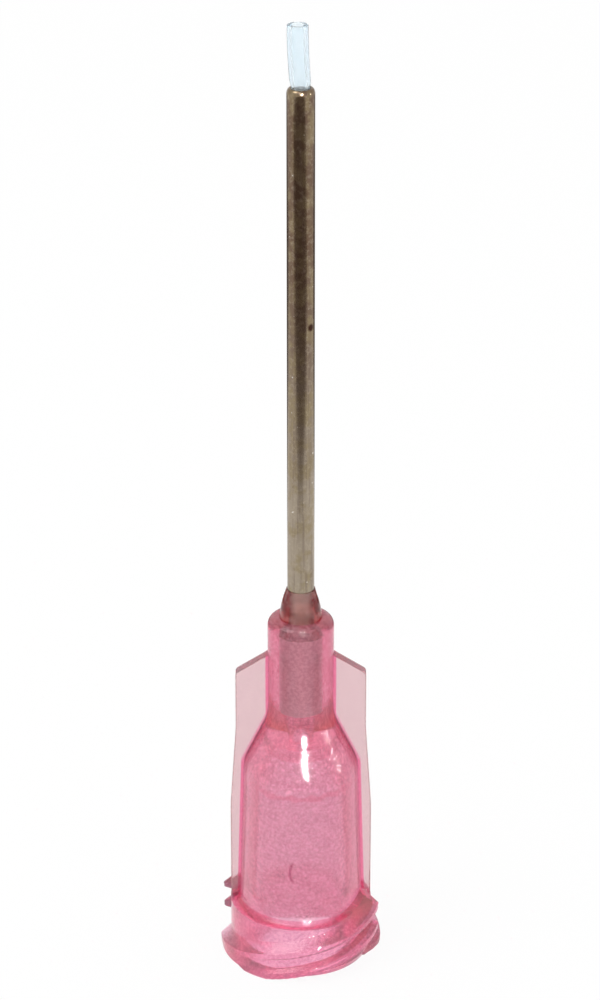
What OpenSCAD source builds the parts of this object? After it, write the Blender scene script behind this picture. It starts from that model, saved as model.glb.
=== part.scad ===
// Dispensing needle tip: a moulded luer-lock hub with two grip wings, a stainless
// steel cannula bonded into its nose, and a fluoropolymer liner tube that runs
// through the cannula and sticks out of its crimped end.
// The luer mouth lies on z = 0 and the cannula points up along +Z.

/* [Hub] */
// Height of the hub from its mouth to its nose
hub_h = 17.8; // [16:0.1:22]
// Diameter of the neck that holds the cannula
neck_d = 3.14; // [2.9:0.02:3.6]
// Radius of the rounded nose edge
nose_round = 0.45; // [0.2:0.05:0.5]
// Height at which the neck starts to flare into the body
neck_z = 13.2; // [12.8:0.1:13.8]
// Radius of the hollow fillet under the neck
neck_fillet = 2.5; // [1.5:0.1:3]
// Lean of the shoulder cone from the axis, in degrees
shoulder_lean = 25.6; // [22:0.2:30]
// Radius of the rounded shoulder edge
shoulder_round = 1.9; // [1:0.1:2.4]
// Diameter of the body just above the collar
body_d = 5.92; // [5.7:0.02:6.1]
// Draft of the body: diameter lost for each millimetre of height
body_draft = 0.06; // [0.04:0.005:0.07]

/* [Collar] */
// Height of the threaded collar at the mouth
collar_h = 2.65; // [2.2:0.05:3]
// Diameter of the collar under the thread
collar_d = 6.82; // [6.7:0.02:7]
// Width of the chamfer round the mouth's outer edge
mouth_chamfer = 0.13; // [0.05:0.01:0.2]
// Height of the chamfer round the mouth's outer edge
mouth_chamfer_h = 0.3; // [0.1:0.05:0.5]
// Radius of the hollow fillet from the collar up into the body
collar_fillet = 0.4; // [0.2:0.05:0.44]

/* [Luer thread] */
// Diameter over the thread crests
thread_d = 7.8; // [7.7:0.01:7.85]
// Rise in one turn, right hand, two starts
thread_lead = 5; // [4:0.1:5.5]
// Height of the upper crest edge where each start begins
thread_z = 0.45; // [0.3:0.05:0.6]
// Angle that each start sweeps from its full crest to its end
thread_sweep = 167; // [120:1:172]
// Angle over which each start grows out of the collar
thread_run_in = 24; // [10:1:40]
// Height of each crest land
crest_h = 0.28; // [0.2:0.02:0.34]
// Height of the slanted flank above each crest
flank_h = 0.6; // [0.4:0.02:0.7]
// Distance between the twin ridges of one start
ridge_gap = 1.08; // [1:0.02:1.2]
// Depth of the groove between the twin ridges where a start begins
groove_start = 0.04; // [0.02:0.01:0.2]
// Depth of the groove between the twin ridges where a start ends
groove_end = 0.44; // [0.2:0.01:0.46]

/* [Wings] */
// Thickness of the two wings
wing_t = 0.6; // [0.4:0.02:1]
// Span of the wings beside the collar
wing_span_low = 6.76; // [6.6:0.02:6.8]
// Span of the wings beside the neck
wing_span_top = 6.2; // [5.6:0.02:6.4]
// Height at which the wings start to narrow
wing_narrow_z = 7.8; // [6:0.1:9]
// Height at which the wings stop narrowing
wing_upright_z = 12; // [10.5:0.1:13]
// Height of the wings' outer top corners
wing_corner_z = 15; // [14:0.05:15.2]
// Height at which the wings' top edges meet the neck
wing_root_z = 15.85; // [15.3:0.05:16.2]
// Radius of the wings' outer top corners
wing_round = 0.25; // [0.1:0.05:0.4]

/* [Luer socket] */
// Diameter of the female taper at the mouth
socket_d = 4.28; // [4.27:0.005:4.315]
// Taper of the socket: diameter lost for each millimetre of depth
socket_taper = 0.06; // [0.059:0.001:0.061]
// Depth of the tapered socket
socket_h = 9.2; // [7.5:0.1:9.6]
// Width of the lead-in chamfer at the mouth
socket_lead = 0.1; // [0.05:0.01:0.2]
// Height of the lead-in chamfer at the mouth
socket_lead_h = 0.2; // [0.1:0.05:0.4]
// Height of the funnel above the tapered socket
funnel_h = 2; // [1.2:0.1:2.2]
// Diameter of the funnel's flat top
funnel_top_d = 2.3; // [1.4:0.05:2.6]

/* [Cannula seat] */
// Height of the ledge that the cannula stands on
seat_z = 12.9; // [12.4:0.05:13.4]
// Diameter of the flow passage between the ledge and the funnel
passage_d = 0.84; // [0.66:0.01:0.9]
// Gap round the cannula in its seat
seat_gap = 0.01; // [0.005:0.005:0.03]
// Depth of the glue well in the nose
well_h = 0.9; // [0.6:0.05:1.2]
// Diameter of the glue well at the top of the nose
well_d = 2.06; // [1.7:0.02:2.1]
// Gap between the bottom of the glue well and the bore wall
well_foot = 0.06; // [0.02:0.01:0.1]

/* [Cannula] */
// Outside diameter, 18 gauge
cannula_d = 1.27; // [1.2:0.01:1.3]
// Bore of the cannula
cannula_bore = 0.965; // [0.95:0.005:0.98]
// Length that stands out of the hub's nose
cannula_out = 25.8; // [6:0.1:40]
// Height of the crimped lip at the tip
crimp_h = 0.26; // [0.15:0.01:0.4]
// Outside diameter of the crimped lip's end
crimp_d = 0.98; // [0.95:0.01:1.05]
// Hole in the crimped lip
crimp_bore = 0.88; // [0.86:0.01:0.94]

/* [Liner] */
// Outside diameter of the liner
liner_d = 0.95; // [0.9:0.005:0.955]
// Bore of the liner
liner_bore = 0.52; // [0.4:0.01:0.7]
// Length that stands out of the cannula's tip
liner_out = 2.85; // [0.5:0.05:6]
// Gap between the crimped lip and the waist that it presses into the liner
waist_gap = 0.01; // [0.005:0.005:0.02]
// Length over which the liner swells back to full size above the lip
waist_h = 0.4; // [0.2:0.05:0.8]

/* [Adhesive] */
// Height of the adhesive above the nose, where it ends on the cannula
glue_h = 1.45; // [0.6:0.05:2]
// Thickness of the adhesive's upper edge
glue_edge = 0.04; // [0.02:0.01:0.1]
// How far the adhesive's cone sags inwards between its edges
glue_sag = 0.06; // [0:0.01:0.1]
// Gap between the adhesive and what it bonds
glue_gap = 0.005; // [0.005:0.005:0.01]

/* [Hidden] */
$fn = 96;
EPS = 0.01;
ARC_STEPS = 10;
THREAD_STEP = 4;

neck_r = neck_d / 2;
collar_r = collar_d / 2;
crest_r = thread_d / 2;
body_r = body_d / 2;
body_foot_z = collar_h + collar_fillet;
body_lean = atan(body_draft / 2);
// the shoulder cone runs between the neck's fillet and the shoulder's rounded edge
cone_top = [neck_r + neck_fillet * (1 - cos(shoulder_lean)),
            neck_z - neck_fillet * sin(shoulder_lean)];
// radius of the drafted body at height z
function body_r_at(z) = body_r - (z - body_foot_z) * body_draft / 2;
// height at which the shoulder's round meets the body: the cone, the round and
// the body are tangent, so one linear equation gives it
round_dr = shoulder_round * (cos(body_lean) - cos(shoulder_lean));
round_dz = shoulder_round * (sin(shoulder_lean) - sin(body_lean));
body_top_z = (body_r + body_foot_z * body_draft / 2 - round_dr - cone_top[0]
              - (cone_top[1] - round_dz) * tan(shoulder_lean))
             / (body_draft / 2 - tan(shoulder_lean));
body_top_r = body_r_at(body_top_z);

bore_d = cannula_d + 2 * seat_gap;
well_foot_d = bore_d + 2 * well_foot;
well_foot_z = hub_h - well_h;
funnel_z = socket_h + funnel_h;
socket_end_d = socket_d - socket_h * socket_taper;
tip_z = hub_h + cannula_out;
liner_top_z = tip_z + liner_out;
waist_r = crimp_bore / 2 - waist_gap;
liner_r = liner_d / 2;

// points of an arc round c, from angle a to angle b
function arc(c, r, a, b) =
    [for (i = [0:ARC_STEPS]) let (t = a + (b - a) * i / ARC_STEPS)
        c + r * [cos(t), sin(t)]];

// outside of the hub from the mouth up to the nose, as [radius, height]
function hub_outline() = concat(
    [[0, 0],
     [collar_r - mouth_chamfer, 0],
     [collar_r, mouth_chamfer_h],
     [collar_r, collar_h]],
    arc([body_r + collar_fillet, body_foot_z], collar_fillet, 270, 180),
    arc([body_top_r - shoulder_round * cos(body_lean),
         body_top_z - shoulder_round * sin(body_lean)],
        shoulder_round, body_lean, shoulder_lean),
    arc([neck_r + neck_fillet, neck_z], neck_fillet, 180 + shoulder_lean, 180),
    arc([neck_r - nose_round, hub_h - nose_round], nose_round, 0, 90),
    [[0, hub_h]]);

// one wing's outline in the X-Z plane, from the axis outwards
function wing_outline() =
    let (low = wing_span_low / 2,
         top = wing_span_top / 2,
         slope = atan((wing_root_z - wing_corner_z) / (top - neck_r)),
         c = [top - wing_round, wing_corner_z - wing_round])
    concat([[0, collar_h - EPS],
            [low, collar_h - EPS],
            [low, wing_narrow_z],
            [top, wing_upright_z]],
           arc(c, wing_round, 0, 90 - slope),
           [[neck_r, wing_root_z],
            [0, wing_root_z]]);

// depth of the thread's groove and height of its crest at angle a of a start
function groove_at(a) = groove_start
    + (groove_end - groove_start) * min(1, max(0, a / thread_sweep));
function crest_at(a) = let (k = min(1, max(0, 1 + a / thread_run_in)))
    collar_r - 0.02 + (crest_r - collar_r + 0.02) * k * k * (3 - 2 * k);

// section of one start at angle a: twin ridges with slanted upper flanks
function thread_section(a) =
    let (z = thread_z + thread_lead * a / 360,
         crest = crest_at(a),
         groove = max(collar_r - 0.05, crest - groove_at(a)),
         root = collar_r - 0.15,
         share = (crest - groove) / (crest - root))
    [[root, z + flank_h],
     [crest, z],
     [crest, z - crest_h],
     [groove, z - crest_h - 0.04],
     [groove, z - ridge_gap + flank_h * share],
     [crest, z - ridge_gap],
     [crest, z - ridge_gap - crest_h],
     [root, z - ridge_gap - crest_h - 0.06]];

module thread_start() {
    n = ceil((thread_sweep + thread_run_in) / THREAD_STEP);
    m = len(thread_section(0));
    pts = [for (i = [0:n])
        let (a = -thread_run_in + (thread_sweep + thread_run_in) * i / n,
             s = thread_section(a))
        for (p = s) [-p[0] * cos(a), -p[0] * sin(a), p[1]]];
    sides = [for (i = [0:n - 1]) for (j = [0:m - 1])
        let (k = (j + 1) % m, u = i * m, v = u + m)
        each [[u + j, v + j, v + k], [u + j, v + k, u + k]]];
    ends = [[for (j = [0:m - 1]) j], [for (j = [m - 1:-1:0]) n * m + j]];
    polyhedron(pts, concat(sides, ends), convexity = 6);
}

// both starts, cut off flush with the mouth
module thread() {
    intersection() {
        union() {
            thread_start();
            rotate([0, 0, 180]) thread_start();
        }
        cylinder(h = hub_h, r = thread_d);
    }
}

module wings() {
    for (side = [0, 180])
        rotate([0, 0, side])
            rotate([90, 0, 0])
                linear_extrude(height = wing_t, center = true)
                    polygon(wing_outline());
}

// the female taper, the funnel above it and the flow passage
module socket() {
    lead_d = socket_d + 2 * socket_lead;
    translate([0, 0, -EPS]) cylinder(h = EPS + EPS, d = lead_d);
    cylinder(h = socket_lead_h, d1 = lead_d, d2 = socket_d - socket_lead_h * socket_taper);
    translate([0, 0, -EPS])
        cylinder(h = socket_h + EPS, d1 = socket_d + EPS * socket_taper, d2 = socket_end_d);
    translate([0, 0, socket_h - EPS])
        cylinder(h = funnel_h + EPS, d1 = socket_end_d, d2 = funnel_top_d);
    translate([0, 0, socket_h]) cylinder(h = seat_z - socket_h + EPS, d = passage_d);
}

// the bore that holds the cannula and the glue well round it
module seat() {
    translate([0, 0, seat_z]) cylinder(h = hub_h - seat_z + EPS, d = bore_d);
    translate([0, 0, well_foot_z])
        cylinder(h = well_h, d1 = well_foot_d, d2 = well_d);
    translate([0, 0, hub_h - EPS]) cylinder(h = 2 * EPS, d = well_d);
}

module hub() {
    color([0.91, 0.56, 0.68, 0.9])
    difference() {
        union() {
            rotate_extrude() polygon(hub_outline());
            wings();
            thread();
        }
        socket();
        seat();
    }
}

module cannula() {
    r = cannula_d / 2;
    lip_z = tip_z - crimp_h;
    // quarter of an ellipse from the straight wall up to the lip's end
    lip = [for (i = [0:ARC_STEPS]) let (t = 90 * i / ARC_STEPS)
        [crimp_d / 2 + (r - crimp_d / 2) * cos(t), lip_z + crimp_h * sin(t)]];
    color([0.52, 0.47, 0.42])
    rotate_extrude()
        polygon(concat([[cannula_bore / 2, seat_z],
                        [r, seat_z]],
                       lip,
                       [[crimp_bore / 2, tip_z],
                        [crimp_bore / 2, tip_z - crimp_h / 2],
                        [cannula_bore / 2, lip_z - crimp_h / 2]]));
}

module liner() {
    waist_z = tip_z - crimp_h;
    color([0.86, 0.93, 0.97, 0.8])
    rotate_extrude()
        polygon([[liner_bore / 2, seat_z],
                 [liner_r, seat_z],
                 [liner_r, waist_z - crimp_h],
                 [waist_r, waist_z],
                 [waist_r, tip_z],
                 [liner_r, tip_z + waist_h],
                 [liner_r, liner_top_z],
                 [liner_bore / 2, liner_top_z]]);
}

module adhesive() {
    r = cannula_d / 2 + glue_gap;
    edge = [r + glue_edge, hub_h + glue_h];
    rim = [well_d / 2 - glue_gap, hub_h];
    // a cone between its two edges that sags inwards like a meniscus
    cone = [for (i = [0:ARC_STEPS]) let (k = i / ARC_STEPS)
        rim + (edge - rim) * k - [glue_sag * sin(180 * k), 0]];
    color([0.66, 0.16, 0.24, 0.9])
    rotate_extrude()
        polygon(concat([[r, well_foot_z + glue_gap],
                        [well_foot_d / 2 - glue_gap, well_foot_z + glue_gap]],
                       cone,
                       [[r, hub_h + glue_h]]));
}

hub();
cannula();
liner();
adhesive();
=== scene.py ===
# %% [markdown]
# # A dispensing needle tip
# A dispensing tip is what screws onto a glue syringe on an electronics bench. It has four
# pieces: a pink moulded hub, a steel cannula bonded into its nose, a fluoropolymer liner
# that runs through the cannula, and the ring of red adhesive that holds them together.
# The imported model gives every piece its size. This lesson rebuilds each one as a smooth
# surface worked out with numpy, and then gives it a finish.

# %% Load the frame
import math

import bpy
import numpy as np
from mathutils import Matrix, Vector


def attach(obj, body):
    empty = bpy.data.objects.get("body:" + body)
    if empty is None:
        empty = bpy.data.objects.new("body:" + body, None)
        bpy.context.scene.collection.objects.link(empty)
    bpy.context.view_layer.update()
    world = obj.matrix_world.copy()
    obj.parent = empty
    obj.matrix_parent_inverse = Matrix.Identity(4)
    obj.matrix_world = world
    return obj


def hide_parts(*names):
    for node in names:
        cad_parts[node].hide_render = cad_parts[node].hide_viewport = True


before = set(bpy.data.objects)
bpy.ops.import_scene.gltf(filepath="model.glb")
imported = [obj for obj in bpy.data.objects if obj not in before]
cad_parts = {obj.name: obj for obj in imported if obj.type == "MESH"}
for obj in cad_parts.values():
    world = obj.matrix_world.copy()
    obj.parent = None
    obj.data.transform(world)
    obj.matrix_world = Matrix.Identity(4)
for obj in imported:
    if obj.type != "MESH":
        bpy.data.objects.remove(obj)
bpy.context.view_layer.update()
MM = 0.001

# %% [markdown]
# ## Surfaces as arrays
# Each piece here is a ring: a tube, a hub with a hole down its middle, a bead of glue.
# A ring's skin is a grid that closes on itself both ways, once round the axis and once
# along its section. So one helper turns any such grid of points into a closed mesh. It
# also measures the volume, because a negative volume means that the faces look inwards.


# %% Closed grids
def closed_grid(name, points):
    """Mesh of a grid that wraps in both directions. points is [row, column, xyz] in mm.
    Face (i, j) joins the corners (i, j), (i, j + 1), (i + 1, j + 1) and (i + 1, j)."""
    rows, cols = points.shape[:2]
    i, j = np.meshgrid(np.arange(rows), np.arange(cols), indexing="ij")
    up, right = (i + 1) % rows, (j + 1) % cols
    quads = np.stack([i * cols + j, i * cols + right, up * cols + right, up * cols + j], -1)
    quads = quads.reshape(-1, 4)
    flat = points.reshape(-1, 3) * MM
    a, b, c, d = (flat[quads[:, k]] for k in range(4))
    volume = np.einsum("ij,ij->", a, np.cross(b, c)) + np.einsum("ij,ij->", a, np.cross(c, d))
    volume /= 6
    if volume < 0:
        quads = quads[:, ::-1]
    mesh = bpy.data.meshes.new(name)
    mesh.from_pydata(flat.tolist(), [], quads.tolist())
    mesh.polygons.foreach_set("use_smooth", np.ones(len(quads), bool))
    mesh.set_sharp_from_angle(angle=math.radians(32))
    mesh.update()
    piece = bpy.data.objects.new(name, mesh)
    bpy.context.scene.collection.objects.link(piece)
    print(f"{name}: {len(quads)} faces, {abs(volume) / MM**3:.1f} mm3")
    return piece


def arc(centre, radius, start, end, steps=8):
    """Points (r, z) of an arc: centre plus radius times (cos, sin) of an angle in degrees."""
    t = np.radians(np.linspace(start, end, steps))
    return np.stack([centre[0] + radius * np.cos(t), centre[1] + radius * np.sin(t)], -1)


def finer(outline, step):
    """The same outline with extra points, so that no piece of it is longer than step."""
    parts = []
    for p, q in zip(outline, np.roll(outline, -1, 0)):
        n = max(1, math.ceil(np.linalg.norm(q - p) / step))
        parts.append(p + (q - p) * np.linspace(0, 1, n, endpoint=False)[:, None])
    return np.concatenate(parts)


def ring(name, outline, columns=96, swell=None, lean=None):
    """A closed outline of (r, z) points turned round the axis. swell(angle, r, z), if given,
    returns the changed r, so that a bead of glue need not be perfectly round. lean(z) gives
    the sideways shift in x of each height, for a soft tube that doesn't stand straight."""
    angle = np.linspace(0, 2 * math.pi, columns, endpoint=False)[None, :]
    r, z = (np.repeat(outline[:, k : k + 1], columns, 1) for k in (0, 1))
    if swell is not None:
        r = swell(angle, r, z)
    shift = lean(z) if lean is not None else 0
    return closed_grid(name, np.stack([r * np.cos(angle) + shift, r * np.sin(angle), z], -1))


# %% [markdown]
# ## The hub's section
# The hub is one injection moulding. From the mouth up it has a threaded collar, a drafted
# body over the luer socket, a shoulder cone, a slim neck and a rounded nose. Its outside is
# described by one outline of straight lines and tangent arcs, which is how its mould was
# turned. The inside is a second outline: glue well, cannula seat, flow passage, funnel and
# the six percent taper that seals on the syringe.

# %% Sizes of the hub, in mm
HUB_H, NECK_R, NOSE_R = 17.8, 1.57, 0.45
NECK_Z, NECK_FILLET, LEAN, SHOULDER_R = 13.2, 2.5, 25.6, 1.9
BODY_R, DRAFT = 2.96, 0.03
COLLAR_H, COLLAR_R, COLLAR_FILLET = 2.65, 3.41, 0.4
CHAMFER, CHAMFER_H = 0.13, 0.3
SEAT_Z, BORE_R, PASSAGE_R = 12.9, 0.645, 0.42
WELL_H, WELL_R, WELL_FOOT_R = 0.9, 1.03, 0.705
SOCKET_R, SOCKET_H, SOCKET_LEAD, SOCKET_LEAD_H = 2.14, 9.2, 0.1, 0.2
FUNNEL_H, FUNNEL_TOP_R = 2.0, 1.15
BODY_FOOT_Z = COLLAR_H + COLLAR_FILLET
CONE_R = NECK_R + NECK_FILLET * (1 - math.cos(math.radians(LEAN)))
CONE_Z = NECK_Z - NECK_FILLET * math.sin(math.radians(LEAN))


def hub_outside():
    """Outline from the mouth to the nose. The shoulder cone is tangent to both its arcs,
    so its upper end follows from the neck's fillet and its lower end from the body."""
    lean, draft = math.radians(LEAN), math.atan(DRAFT)
    round_dr = SHOULDER_R * (math.cos(draft) - math.cos(lean))
    round_dz = SHOULDER_R * (math.sin(lean) - math.sin(draft))
    top_z = BODY_R + BODY_FOOT_Z * DRAFT - round_dr - CONE_R - (CONE_Z - round_dz) * math.tan(lean)
    top_z /= DRAFT - math.tan(lean)
    top_r = BODY_R - (top_z - BODY_FOOT_Z) * DRAFT
    centre = (top_r - SHOULDER_R * math.cos(draft), top_z - SHOULDER_R * math.sin(draft))
    return [
        arc((BODY_R + COLLAR_FILLET, BODY_FOOT_Z), COLLAR_FILLET, 270, 180),
        arc(centre, SHOULDER_R, math.degrees(draft), LEAN),
        arc((NECK_R + NECK_FILLET, NECK_Z), NECK_FILLET, 180 + LEAN, 180),
        arc((NECK_R - NOSE_R, HUB_H - NOSE_R), NOSE_R, 0, 90, 10),
    ]


WETTED = 0.02


def hub_inside():
    """Outline from the nose back down to the mouth, through the hub's middle. The glue wets
    the plastic, the steel and itself, so light crosses no air there: the well and the bore
    close on their contents by WETTED, and the steel inside the neck looks half as wide again."""
    socket_end = SOCKET_R - SOCKET_H * DRAFT
    points = [
        (WELL_R - WETTED, HUB_H), (WELL_FOOT_R - WETTED, HUB_H - WELL_H),
        (BORE_R - WETTED, HUB_H - WELL_H), (BORE_R - WETTED, SEAT_Z),
        (PASSAGE_R, SEAT_Z), (PASSAGE_R, SOCKET_H + FUNNEL_H),
        (FUNNEL_TOP_R, SOCKET_H + FUNNEL_H), (socket_end, SOCKET_H),
        (SOCKET_R - SOCKET_LEAD_H * DRAFT, SOCKET_LEAD_H), (SOCKET_R + SOCKET_LEAD, 0),
    ]
    return np.array(points)


outside = np.concatenate(hub_outside())
print("outside of the hub:", len(outside), "points, body top radius", round(outside[8, 0], 3))

# %% [markdown]
# ## The luer thread
# The collar carries a right-hand thread with two starts. Each start is a band of twin
# ridges with a slanted upper flank and an almost flat underside. It grows out of the mouth,
# climbs for nearly half a turn and stops in a sharp end. As a formula, the extra radius at
# an angle and a height depends only on the height above the helix, so the whole thread is
# one call of np.interp on an array, once for each start.

# %% Thread as extra radius
CREST_R, LEAD, THREAD_Z = 3.9, 5.0, 0.45
SWEEP, RUN_IN, CREST_H, FLANK_H, RIDGE_GAP = 167.0, 24.0, 0.28, 0.6, 1.08
GROOVE_START, GROOVE_END, ROOT_R, FLUSH_R = 0.04, 0.44, COLLAR_R - 0.15, COLLAR_R - 0.02


def thread_radius(angle, z):
    """Radius of the thread at arrays of angle (radians) and height, 0 where it has none.
    a is the angle from a start's first full crest, w the height above its upper crest."""
    best = np.zeros(np.broadcast(angle, z).shape)
    for start in (180.0, 0.0):
        a = (np.degrees(angle) - start + RUN_IN) % 360 - RUN_IN
        w = z - THREAD_Z - LEAD * a / 360
        grown = np.clip(1 + a / RUN_IN, 0, 1)
        crest = FLUSH_R + (CREST_R - FLUSH_R) * grown**2 * (3 - 2 * grown)
        groove = GROOVE_START + (GROOVE_END - GROOVE_START) * np.clip(a / SWEEP, 0, 1)
        low = -RIDGE_GAP - CREST_H
        solid = np.interp(w, [low - 0.06, low, 0, FLANK_H], [0, 1, 1, 0])
        hollow = np.interp(w, [-RIDGE_GAP, -RIDGE_GAP + FLANK_H, -CREST_H - 0.04, -CREST_H],
                           [0, 1, 1, 0])
        deepest = np.minimum(groove, crest - COLLAR_R + 0.05)
        dip = np.minimum(hollow * (crest - ROOT_R), deepest)
        r = ROOT_R + (crest - ROOT_R) * solid - dip
        end = np.clip((SWEEP - a) / 1.2, 0, 1)
        inside = (solid > 0) & (a > -RUN_IN) & (a < SWEEP)
        best = np.maximum(best, np.where(inside, ROOT_R + (r - ROOT_R) * end, 0))
    return best


front_crest = float(thread_radius(np.array(-math.pi / 2), np.array(1.5)))
print("crest over the front:", round(front_crest, 2), "mm")

# %% [markdown]
# ## Wings
# Two flat wings let fingers turn the tip. Seen from above, the hub at any height is a
# circle with a thin plate through it. A quarter of that outline has four parts: the flat
# end of the plate, its rounded edge, its face and the arc of the body. The same number of
# points goes on each part at every height, so the rows of the grid join up cleanly.

# %% Outline of the hub at each height
WING_T, WING_EDGE = 0.6, 0.07
WING_LOW, WING_TOP = 3.38, 3.1
WING_NARROW_Z, WING_UPRIGHT_Z, WING_CORNER_Z = 7.8, 12.0, 15.0
WING_ROOT_Z, WING_ROUND = 15.85, 0.25
END_N, EDGE_N, FACE_N, ARC_N = 3, 5, 14, 58


def wing_reach(z):
    """Half the wings' span at height z: upright, narrowing, upright again, a rounded corner
    and a sloping top edge down to the neck. 0 where there is no wing."""
    slope = math.degrees(math.atan((WING_ROOT_Z - WING_CORNER_Z) / (WING_TOP - NECK_R)))
    corner = arc((WING_TOP - WING_ROUND, WING_CORNER_Z - WING_ROUND), WING_ROUND, 0, 90 - slope)
    line = np.concatenate([
        [(WING_LOW, COLLAR_H - 0.01), (WING_LOW, WING_NARROW_Z), (WING_TOP, WING_UPRIGHT_Z)],
        corner, [(NECK_R + 0.01, WING_ROOT_Z - 0.005)]])
    return np.interp(z, line[:, 1], line[:, 0], left=0, right=0)


def quarter(r, reach):
    """x and y of a quarter outline for columns of body radius r and wing reach. Where the
    plate doesn't reach past the body, the same points lie on the circle instead."""
    half = WING_T / 2
    t = np.radians(np.linspace(0, 90, EDGE_N, endpoint=False))
    end_y = np.linspace(0, half - WING_EDGE, END_N, endpoint=False)
    edge_x, edge_y = WING_EDGE * (np.cos(t) - 1), half - WING_EDGE + WING_EDGE * np.sin(t)
    run = np.linspace(0, 1, FACE_N, endpoint=False) ** 0.8
    meet = np.sqrt(r**2 - half**2)
    x = np.concatenate([reach + 0 * end_y, reach + edge_x, reach + (meet - reach) * run], 1)
    y = np.concatenate([end_y, edge_y, half + 0 * run])[None, :] + 0 * x
    first = np.arcsin(half / r)
    turn = np.linspace(0, 1, ARC_N)[None, :]
    theta = first + (math.pi / 2 - first) * turn
    plated = np.concatenate([x, r * np.cos(theta)], 1), np.concatenate([y, r * np.sin(theta)], 1)
    n_plate = x.shape[1]
    plain = np.concatenate([first * np.arange(n_plate) / n_plate, theta], 1)
    bare = r * np.cos(plain), r * np.sin(plain)
    has_wing = reach > r
    return np.where(has_wing, plated[0], bare[0]), np.where(has_wing, plated[1], bare[1])


def full_outline(r, reach):
    """The quarter mirrored into all four, in order round the axis."""
    x, y = quarter(r, reach)
    x = np.concatenate([x[:, :-1], -x[:, :0:-1], -x[:, :-1], x[:, :0:-1]], 1)
    y = np.concatenate([y[:, :-1], y[:, :0:-1], -y[:, :-1], -y[:, :0:-1]], 1)
    return x, y


# %% [markdown]
# ## The hub's skin
# The rows climb the outside from the mouth to the nose, turn into the glue well and come
# back down through the middle. They lie close together on the collar, where the thread
# needs them, and further apart on the plain body.

# %% Rows of the hub
def hub_rows():
    """(r, z) of every row: dense on the collar, then along the outside, then the inside."""
    low = np.linspace(0, COLLAR_H, 96)
    collar_r = np.interp(low, [0, CHAMFER_H], [COLLAR_R - CHAMFER, COLLAR_R])
    collar = np.stack([collar_r, low], -1)
    heights = np.concatenate([
        np.linspace(COLLAR_H + 0.01, BODY_FOOT_Z, 12), np.linspace(3.1, 3.5, 10),
        np.linspace(3.8, 9.4, 16), np.linspace(9.6, WING_CORNER_Z - WING_ROUND, 34),
        np.linspace(WING_CORNER_Z - 0.22, WING_ROOT_Z - 0.01, 22),
        np.linspace(WING_ROOT_Z, HUB_H - NOSE_R, 8)])
    upper = np.stack([np.interp(heights, outside[:, 1], outside[:, 0]), heights], -1)
    nose = hub_outside()[-1][1:]
    inner = finer(hub_inside(), 0.55)
    closing = np.argmax(inner[:, 1] <= 1e-9)
    return np.concatenate([collar, upper, nose, inner[: closing + 1]]), len(inner[: closing + 1])


rows, inside_count = hub_rows()
outer = np.arange(len(rows)) < len(rows) - inside_count
radius, height = rows[:, :1], rows[:, 1:]
reach = np.where(outer[:, None], wing_reach(height), 0)
x, y = full_outline(np.maximum(radius, WING_T / 2 + 0.01), reach)
theta, spread = np.arctan2(y, x), np.hypot(x, y)
ridge = np.where(outer[:, None], thread_radius(theta, height), 0)
scale = np.maximum(spread, ridge) / spread
hub = closed_grid("hub_moulding", np.stack([x * scale, y * scale, height + 0 * x], -1))
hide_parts("hub")

# %% [markdown]
# ## Cannula, liner and adhesive
# The cannula is a length of drawn tube whose end is rolled inwards over the liner. The
# liner is a soft tube: the rolled lip presses a waist into it, and above the lip it swells
# back to its full size. The adhesive was poured as a liquid, so its top is a meniscus that
# climbs the steel in a slightly swollen cone, not quite the same all the way round.

# %% Tubes
CANNULA_R, CANNULA_BORE_R, TIP_Z = 0.635, 0.4825, 43.6
CRIMP_H, CRIMP_R, CRIMP_BORE_R = 0.26, 0.49, 0.44
LINER_R, LINER_BORE_R, LINER_TOP = 0.475, 0.26, 46.45
WAIST_R, WAIST_H, LINER_LEAN = 0.43, 0.4, 0.14

t = np.radians(np.linspace(0, 90, 12))
lip_r = CRIMP_R + (CANNULA_R - CRIMP_R) * np.cos(t)
lip = np.stack([lip_r, TIP_Z - CRIMP_H + CRIMP_H * np.sin(t)], -1)
cannula_line = np.concatenate([
    [(CANNULA_BORE_R, SEAT_Z), (CANNULA_R, SEAT_Z)], lip,
    [(CRIMP_BORE_R + 0.01, TIP_Z), (CRIMP_BORE_R, TIP_Z - 0.03), (CRIMP_BORE_R, TIP_Z - CRIMP_H / 2),
     (CANNULA_BORE_R, TIP_Z - CRIMP_H * 1.5)]])
cannula = ring("cannula_tube", finer(cannula_line, 1.2))
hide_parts("cannula")

swell_z = np.linspace(TIP_Z, TIP_Z + WAIST_H, 8)
grow = (1 - np.cos(math.pi * np.linspace(0, 1, 8))) / 2
swelling = np.stack([WAIST_R + (LINER_R - WAIST_R) * grow, swell_z], -1)
liner_line = np.concatenate([
    [(LINER_BORE_R, SEAT_Z), (LINER_R, SEAT_Z), (LINER_R, TIP_Z - 2 * CRIMP_H),
     (WAIST_R, TIP_Z - CRIMP_H)], swelling,
    [(LINER_R, LINER_TOP - 0.03), (LINER_R - 0.03, LINER_TOP),
     (LINER_BORE_R + 0.02, LINER_TOP), (LINER_BORE_R, LINER_TOP - 0.02)]])


def leaning(z):
    """Above the lip the liner leans to the left, by a seventh of a millimetre at its end."""
    k = np.clip((z - TIP_Z) / (LINER_TOP - TIP_Z), 0, 1)
    return -LINER_LEAN * k * (2 - k)


liner = ring("liner_tube", finer(liner_line, 0.6), 64, lean=leaning)
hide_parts("liner")

# %% Adhesive
GLUE_TOP, GLUE_GAP, GLUE_EDGE, GLUE_BULGE = HUB_H + 1.45, 0.005, 0.04, 0.06

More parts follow.
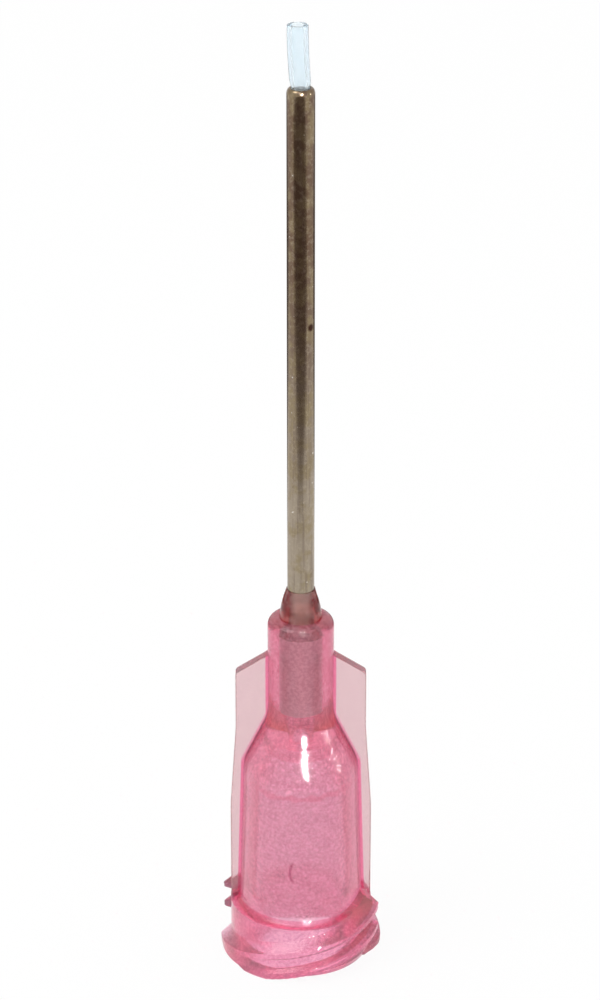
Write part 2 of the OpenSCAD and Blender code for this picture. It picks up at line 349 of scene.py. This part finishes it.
k = np.linspace(0, 1, 16)
rim = np.array([WELL_R - GLUE_GAP, HUB_H])
edge = np.array([CANNULA_R + GLUE_GAP + GLUE_EDGE, GLUE_TOP])
cone = rim + (edge - rim) * k[:, None] + np.stack([GLUE_BULGE * np.sin(math.pi * k), 0 * k], -1)
glue_line = np.concatenate([
    [(CANNULA_R + GLUE_GAP, HUB_H - WELL_H + GLUE_GAP),
     (WELL_FOOT_R - GLUE_GAP, HUB_H - WELL_H + GLUE_GAP)],
    cone, [(CANNULA_R + GLUE_GAP, GLUE_TOP)]])


def uneven(angle, r, z):
    """Above the nose the bead thins by a few hundredths of a millimetre in slow waves."""
    above = np.clip((z - HUB_H) / 0.3, 0, 1) * np.clip((GLUE_TOP - z) / 0.3, 0, 1)
    wave = 0.5 + 0.3 * np.sin(3 * angle + 1.1) + 0.2 * np.sin(5 * angle + 0.4 + 2 * z)
    return np.where(r > CANNULA_R + 0.02, r - 0.035 * above * wave, r)


adhesive = ring("adhesive_bead", finer(glue_line, 0.2), 96, uneven)
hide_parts("adhesive")
for piece in (hub, cannula, liner, adhesive):
    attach(piece, "root")

# %% [markdown]
# ## Writing materials as sums
# Shader nodes are easier to read as formulas. The class below wraps an output socket, so
# that `1 - mask` or `noise * 0.2 + 0.1` adds the Math nodes for it. Colours go through Mix
# nodes instead, because a Math node would turn them grey.


# %% Shader helpers
class Socket:
    """An output socket that understands +, - and *."""

    def __init__(self, tree, out):
        self.tree, self.out = tree, out

    def maths(self, operation, a, b):
        return self.tree.node("ShaderNodeMath", {"operation": operation}, {0: a, 1: b})

    def __add__(self, b):
        return self.maths("ADD", self, b)

    def __radd__(self, b):
        return self.maths("ADD", b, self)

    def __sub__(self, b):
        return self.maths("SUBTRACT", self, b)

    def __rsub__(self, b):
        return self.maths("SUBTRACT", b, self)

    def __mul__(self, b):
        return self.maths("MULTIPLY", self, b)


class Tree:
    """A node tree that is filled in by name: settings first, then values or links."""

    def __init__(self, owner):
        owner.use_nodes = True
        self.nt = owner.node_tree
        self.nt.nodes.clear()

    def node(self, kind, settings=None, sockets=None, output=0):
        made = self.nt.nodes.new(kind)
        for key, value in (settings or {}).items():
            setattr(made, key, value)
        for key, value in (sockets or {}).items():
            if isinstance(value, Socket):
                self.nt.links.new(value.out, made.inputs[key])
            else:
                made.inputs[key].default_value = value
        return Socket(self, made.outputs[output]) if made.outputs else None

    def blend(self, factor, a, b):
        """Colour a where factor is 0 and colour b where it is 1."""
        ins = {0: factor, 6: a, 7: b}
        return self.node("ShaderNodeMix", {"data_type": "RGBA"}, ins, 2)

    def ramp(self, value, low, high):
        """0 below low, 1 above high and a smooth step between."""
        settings = {"interpolation_type": "SMOOTHSTEP"}
        ins = {0: value, 1: low, 2: high, 3: 0.0, 4: 1.0}
        return self.node("ShaderNodeMapRange", settings, ins)

    def noise(self, scale, detail=2.0, roughness=0.5, where=None):
        spot = where or self.node("ShaderNodeTexCoord", output="Object")
        ins = {"Vector": spot, "Scale": scale, "Detail": detail, "Roughness": roughness}
        return self.node("ShaderNodeTexNoise", {}, ins)

    def maths(self, operation, a, b):
        return self.node("ShaderNodeMath", {"operation": operation}, {0: a, 1: b})

    def position_mm(self):
        """x, y and height above the mouth in mm, from the Object coordinates."""
        spot = self.node("ShaderNodeTexCoord", output="Object")
        split = self.node("ShaderNodeSeparateXYZ", {}, {0: spot})
        return [Socket(self, out) * (1 / MM) for out in split.out.node.outputs]

    def absolute(self, value):
        return self.maths("ABSOLUTE", value, 0.0)

    def band(self, value, centre, half, soft):
        """1 within half of centre, 0 beyond half + soft."""
        return 1 - self.ramp(self.absolute(value - centre), half, half + soft)

    def length(self, a, b):
        """Square root of a squared plus b squared."""
        return self.maths("SQRT", a * a + b * b, 0.0)


def rgb(r, g, b):
    return (r, g, b, 1.0)


# %% [markdown]
# ## Pink polypropylene
# The hub is clear enough to show the steel inside the neck and cloudy enough to look
# milky. Its tint comes mostly from an absorbing volume: light crosses little plastic in a
# wing and much more in the body, so the wings turn out pale and the body deep by
# themselves. Every crossing of the surface adds a paler tint to that. A fine grain lies
# all over the hub, weaker on the wings, and the hub has a faint painted glow, more in the
# grain. Painted shade draws lines along the rims, creases and edges, softer and darker than
# a clean mesh shows, and darkens the body's sides beside the wings. Frosted dots on the
# funnel carry painted sparkle.

# %% Hub plastic
SCAR_X, SCAR_Z = -0.52, 5.5


def hub_plastic():
    m = bpy.data.materials.new("hub_plastic")
    t = Tree(m)
    x, y, z = t.position_mm()
    r = t.length(x, y)
    grain = t.ramp(t.noise(6500, 3, 0.7), 0.40, 0.62)
    cloud = t.noise(1500, 3, 0.6)
    waver = (t.noise(1700, 2, 0.5) - 0.5) * 0.45

    # where: the neck, the funnel's wall, the collar, the plates of the wings
    straight = BODY_R + DRAFT * BODY_FOOT_Z - z * DRAFT
    cone = (CONE_Z - z) * math.tan(math.radians(LEAN)) + CONE_R
    body_r = t.maths("MAXIMUM", t.maths("MINIMUM", straight, cone), NECK_R)
    past = r - body_r
    neck = t.ramp(z, 12.4, 14.4) * (1 - t.ramp(r, 1.62, 1.78))
    dome = t.band(z, 10.2, 0.9, 0.1) * (1 - t.ramp(r, 1.9, 2.0))
    collar = 1 - t.ramp(z, 2.6, 2.9)
    plate = t.ramp(past, 0.08, 0.2) * (1 - collar)

    # painted shade: darker lines at the rims of the funnel, the crease beside each wing,
    # the foot of the body, and the narrow ends and tops of the wings
    inner = 1 - t.ramp(r, 2.1, 2.2)
    # painted shade along the two rims of the funnel inside
    rim_shade = (t.band(z + waver, 9.15, 0.10, 0.06) + t.band(z, 11.0, 0.28, 0.08)) * inner
    # painted shade in the crease beside each wing
    crease_shade = t.band(t.absolute(y), 0.36, 0.09, 0.06) * t.band(past, 0.03, 0.07, 0.06)
    crease_shade = crease_shade * (1 - collar)
    # painted shade where the body meets the collar
    foot_shade = t.band(z, 2.78, 0.09, 0.08) * t.band(r, 3.12, 0.16, 0.08)
    # painted shade: the body's sides beside the wings are darkened
    side_shade = (1 - t.ramp(t.absolute(y), 0.35, 1.4)) * t.band(past, 0.0, 0.08, 0.05)
    side_shade = side_shade * (1 - collar)
    # painted shade on the narrow ends and tops of the wings
    wing_end_shade = t.band(t.absolute(y), 0.0, 0.25, 0.03) * plate
    # all the painted shade lines together
    lines = t.maths("MINIMUM", rim_shade + crease_shade + foot_shade + wing_end_shade * 0.3, 1.0)

    # a short curved scar on the front of the body
    off_z = t.absolute(z - SCAR_Z)
    curve = t.maths("POWER", off_z * 1.6, 2.0) * 0.2
    scar = (1 - t.ramp(t.absolute(x - SCAR_X - curve), 0.04, 0.09)) * (1 - t.ramp(off_z, 0.4, 0.6))
    scar = scar * (1 - t.ramp(y, -2.6, -2.4))

    grain = grain * (1 - plate * 0.8)
    colour = t.blend(t.ramp(cloud, 0.3, 0.7), rgb(0.72, 0.585, 0.655), rgb(0.78, 0.675, 0.715))
    colour = t.blend(neck * 0.8, colour, rgb(0.66, 0.39, 0.46))
    colour = t.blend(collar * 0.7, colour, rgb(0.78, 0.48, 0.65))
    colour = t.blend(plate * 0.7, colour, rgb(0.77, 0.74, 0.67))
    colour = t.blend(grain * 0.38, colour, rgb(0.96, 0.84, 0.88))
    # frosted dots on the funnel: a real bump, and a painted sparkle of near white that also glows
    frost_and_sparkle = t.ramp(t.noise(5600, 1, 0.5), 0.57, 0.67) * dome
    colour = t.blend(frost_and_sparkle, colour, rgb(1.0, 0.99, 0.99))
    # painted shade on the body's sides beside the wings
    colour = t.blend(side_shade * 0.8, colour, rgb(0.74, 0.28, 0.44))
    # the painted shade lines darken the colour
    colour = t.blend(lines * 0.8, colour, rgb(0.78, 0.20, 0.35))
    colour = t.blend(scar * 0.85, colour, rgb(0.40, 0.12, 0.22))
    rough = 0.04 + grain * 0.06 + plate * 0.06
    bump = t.node("ShaderNodeBump", {}, {
        "Height": grain * (0.25 + dome) + frost_and_sparkle * 1.5 + scar, "Strength": 0.35, "Distance": 0.00003})
    # painted glow: the plastic emits a faint pink light of its own, more in the grain and most at
    # the dots
    glow = t.blend(grain, rgb(0.010, 0.002, 0.006), rgb(0.060, 0.026, 0.040))
    glow = t.blend(frost_and_sparkle, glow, rgb(0.16, 0.12, 0.13))
    shader = t.node("ShaderNodeBsdfPrincipled", {}, {
        "Base Color": colour, "Roughness": rough, "IOR": 1.49, "Normal": bump,
        "Transmission Weight": 0.88, "Emission Color": glow, "Emission Strength": 1.0})
    inside = t.node("ShaderNodeVolumeAbsorption", {}, {
        "Color": rgb(0.95, 0.12, 0.40), "Density": 480.0})
    t.node("ShaderNodeOutputMaterial", {}, {"Surface": shader, "Volume": inside})
    return m


hub.data.materials.append(hub_plastic())

# %% [markdown]
# ## Steel, liner and glue
# The cannula was drawn through a die, which leaves faint lengthwise lines and a satin
# shine. It is browner towards the tip, with dust in the lines and one dark stain, and
# paler and rougher at its lower end, inside the glue and the hub. The liner is a
# soft bluish white that light passes through. The adhesive is a red resin, glossy and
# deep, with painted light at the front: it is paler there, where the steel shows through it.

# %% Steel
STAIN_X, STAIN_Y, STAIN_Z = 0.46, -0.44, 32.5


def cannula_steel():
    m = bpy.data.materials.new("cannula_steel")
    t = Tree(m)
    x, y, z = t.position_mm()
    spot = t.node("ShaderNodeTexCoord", output="Object")
    drawn = t.node("ShaderNodeMapping", {}, {"Vector": spot, "Scale": (1, 1, 0.04)})
    lines = t.noise(7000, 2, 0.6, drawn)
    patches = t.noise(1400, 3, 0.6)
    dust = t.noise(5200, 2, 0.7)
    specks = t.ramp(t.noise(4600, 1, 0.5), 0.745, 0.79) * 0.6
    tip = t.ramp(z + patches * 4.0, 24.0, 38.0)
    colour = t.blend(tip, rgb(0.36, 0.30, 0.23), rgb(0.168, 0.108, 0.07))
    colour = t.blend(t.ramp(patches, 0.42, 0.62) * 0.7, colour, rgb(0.30, 0.235, 0.135))
    colour = t.blend(t.ramp(lines, 0.45, 0.65) * 0.35, colour, rgb(0.16, 0.11, 0.09))
    colour = t.blend(t.ramp(dust, 0.5, 0.66) * 0.25, colour, rgb(0.50, 0.42, 0.32))
    colour = t.blend(specks, colour, rgb(0.85, 0.80, 0.74))
    # paler and rougher at the lower end, inside the glue and the hub
    paler = 1 - t.ramp(z + patches, 17.4, 18.6)
    colour = t.blend(paler * 0.75, colour, rgb(0.66, 0.60, 0.56))
    aside = t.length(t.length(x - STAIN_X, y - STAIN_Y), z - STAIN_Z)
    colour = t.blend(1 - t.ramp(aside, 0.10, 0.24), colour, rgb(0.05, 0.02, 0.012))
    bump = t.node("ShaderNodeBump", {}, {"Height": lines, "Strength": 0.3, "Distance": 0.00002})
    shader = t.node("ShaderNodeBsdfPrincipled", {}, {
        "Base Color": colour, "Metallic": 1.0, "Normal": bump,
        "Roughness": 0.13 + lines * 0.12 + paler * 0.15})
    t.node("ShaderNodeOutputMaterial", {}, {"Surface": shader})
    return m


cannula.data.materials.append(cannula_steel())


# %% Liner
def liner_plastic():
    m = bpy.data.materials.new("liner_plastic")
    t = Tree(m)
    cloud = t.noise(1500, 2, 0.5)
    colour = t.blend(cloud, rgb(0.90, 0.97, 1.0), rgb(0.97, 0.99, 1.0))
    shader = t.node("ShaderNodeBsdfPrincipled", {}, {
        "Base Color": colour, "Roughness": 0.12 + cloud * 0.1, "IOR": 1.35,
        "Transmission Weight": 0.85})
    inside = t.node("ShaderNodeVolumeAbsorption", {}, {
        "Color": rgb(0.35, 0.72, 0.95), "Density": 300.0})
    t.node("ShaderNodeOutputMaterial", {}, {"Surface": shader, "Volume": inside})
    return m


liner.data.materials.append(liner_plastic())


# %% Adhesive resin
def adhesive_resin():
    m = bpy.data.materials.new("adhesive_resin")
    t = Tree(m)
    blots = t.noise(1900, 2, 0.5)
    x, y, z = t.position_mm()
    colour = t.blend(t.ramp(blots, 0.38, 0.70), rgb(0.50, 0.03, 0.035), rgb(0.90, 0.48, 0.44))
    # painted light: the front of the bead is paler, where the steel shows through it
    painted_front_light = (1 - t.ramp(t.absolute(x), 0.25, 0.6)) * (1 - t.ramp(y, -0.5, -0.2))
    colour = t.blend(painted_front_light * 0.7, colour, rgb(1.0, 0.88, 0.80))
    shader = t.node("ShaderNodeBsdfPrincipled", {}, {
        "Base Color": colour, "Roughness": 0.06 + blots * 0.08, "IOR": 1.5,
        "Transmission Weight": 0.85})
    inside = t.node("ShaderNodeVolumeAbsorption", {}, {
        "Color": rgb(0.80, 0.06, 0.08), "Density": 1900.0})
    t.node("ShaderNodeOutputMaterial", {}, {"Surface": shader, "Volume": inside})
    return m


adhesive.data.materials.append(adhesive_resin())
print("materials:", [m.name for m in bpy.data.materials])

# %% [markdown]
# ## Floor and light
# The tip stands on a white table in soft light. White is a colour here and not more light:
# the floor and the world glow at about strength 1 for what the camera sees directly,
# through the plastic or mirrored in the steel, and the floor keeps a trace of the shadow.
# Steel only looks like steel if it has something dark to mirror, so two brown cards lie on
# the table, in front and behind, and nothing but reflected light meets them.


# %% Floor
def plane(name, low, high, z):
    """A flat rectangle between two (x, y) corners at height z, in mm."""
    (x0, y0), (x1, y1) = low, high
    mesh = bpy.data.meshes.new(name)
    corners = [(x0 * MM, y0 * MM, z * MM), (x1 * MM, y0 * MM, z * MM),
               (x1 * MM, y1 * MM, z * MM), (x0 * MM, y1 * MM, z * MM)]
    mesh.from_pydata(corners, [], [(0, 1, 2, 3)])
    made = bpy.data.objects.new(name, mesh)
    bpy.context.scene.collection.objects.link(made)
    return made


FLOOR_GLOW = 0.93
floor = plane("floor", (-3000, -3000), (3000, 3000), -0.02)
m = bpy.data.materials.new("white_table")
t = Tree(m)
seen = t.node("ShaderNodeLightPath", output="Is Camera Ray")
through = t.node("ShaderNodeLightPath", output="Is Transmission Ray")
mirrored = t.node("ShaderNodeLightPath", output="Is Glossy Ray")
matte = t.node("ShaderNodeBsdfDiffuse", {}, {"Color": rgb(0.9, 0.9, 0.9)})
glow = t.node("ShaderNodeEmission", {}, {"Color": rgb(1, 1, 1), "Strength": 1.0})
share = t.maths("MAXIMUM", seen * FLOOR_GLOW, t.maths("MAXIMUM", through, mirrored))
mixed = t.node("ShaderNodeMixShader", {}, {0: share, 1: matte, 2: glow})
t.node("ShaderNodeOutputMaterial", {}, {"Surface": mixed})
floor.data.materials.append(m)

# %% Dark cards in front and behind, seen only in reflections
m = bpy.data.materials.new("brown_card")
t = Tree(m)
t.node("ShaderNodeOutputMaterial", {}, {"Surface": t.node(
    "ShaderNodeEmission", {}, {"Color": rgb(0.20, 0.165, 0.15), "Strength": 1.0})})
CARDS = {"front_card": ((-120, -420), (78, -52)), "back_card": ((-90, 46), (90, 420))}
for name, (low, high) in CARDS.items():
    card = plane(name, low, high, 1.0)
    card.visible_camera = card.visible_diffuse = False
    card.visible_transmission = card.visible_shadow = False
    card.data.materials.append(m)

# %% World
world = bpy.data.worlds.new("studio")
bpy.context.scene.world = world
t = Tree(world)
path = {name: t.node("ShaderNodeLightPath", output=name)
        for name in ("Is Camera Ray", "Is Transmission Ray", "Is Glossy Ray")}
white = t.maths("MAXIMUM", path["Is Camera Ray"], path["Is Transmission Ray"])
colour = t.blend(path["Is Glossy Ray"], rgb(0.88, 0.88, 0.88), rgb(0.90, 0.90, 0.90))
colour = t.blend(white, colour, rgb(1, 1, 1))
sky = t.node("ShaderNodeBackground", {}, {"Color": colour})
t.node("ShaderNodeOutputWorld", {}, {"Surface": sky})


# %% Lamps
def area_lamp(name, azimuth, elevation, distance, width, tall, watts, diffuse=True):
    """A soft lamp that looks at the hub. Azimuth 0 is the camera's side, in degrees."""
    a, e = math.radians(azimuth), math.radians(elevation)
    data = bpy.data.lights.new(name, "AREA")
    data.shape, data.size, data.size_y, data.energy = "RECTANGLE", width * MM, tall * MM, watts
    lamp = bpy.data.objects.new(name, data)
    away = Vector((math.sin(a) * math.cos(e), -math.cos(a) * math.cos(e), math.sin(e)))
    lamp.location = Vector((0, 0, 12 * MM)) + away * distance * MM
    lamp.rotation_mode = "QUATERNION"
    lamp.rotation_quaternion = away.to_track_quat("Z", "Y")
    lamp.visible_diffuse = diffuse
    bpy.context.scene.collection.objects.link(lamp)


area_lamp("key", 10, 21, 420, 14, 74, 2.2, False)
area_lamp("side", 82, 8, 420, 12, 22, 0.16, False)
area_lamp("crest", 8, 49, 420, 24, 14, 0.5, False)
area_lamp("fill", -60, 55, 500, 300, 300, 0.8)

# %% [markdown]
# ## Camera
# The tip is looked at from about thirty degrees above, close up, with a long lens. The
# camera stands 165 mm from the mouth, in mm in front of it and above it, and its pitch
# puts the whole tip in the frame.

# %% Camera
CAMERA_Y, CAMERA_Z, PITCH = -139.93, 87.437, 24.463
LENS, SHIFT = 119.717, -0.0008

data = bpy.data.cameras.new("camera")
data.sensor_fit, data.sensor_width = "AUTO", 36.0
data.lens = LENS
data.clip_start, data.clip_end = 0.01, 20
data.shift_x = SHIFT
camera = bpy.data.objects.new("camera", data)
camera.location = Vector((0, CAMERA_Y, CAMERA_Z)) * MM
camera.rotation_euler = (math.radians(90 - PITCH), 0, 0)
bpy.context.scene.collection.objects.link(camera)
bpy.context.scene.camera = camera
bpy.context.scene.view_settings.view_transform = "Standard"
print("lens", round(data.lens, 1), "mm,", round(math.hypot(CAMERA_Y, CAMERA_Z)), "mm from the mouth")
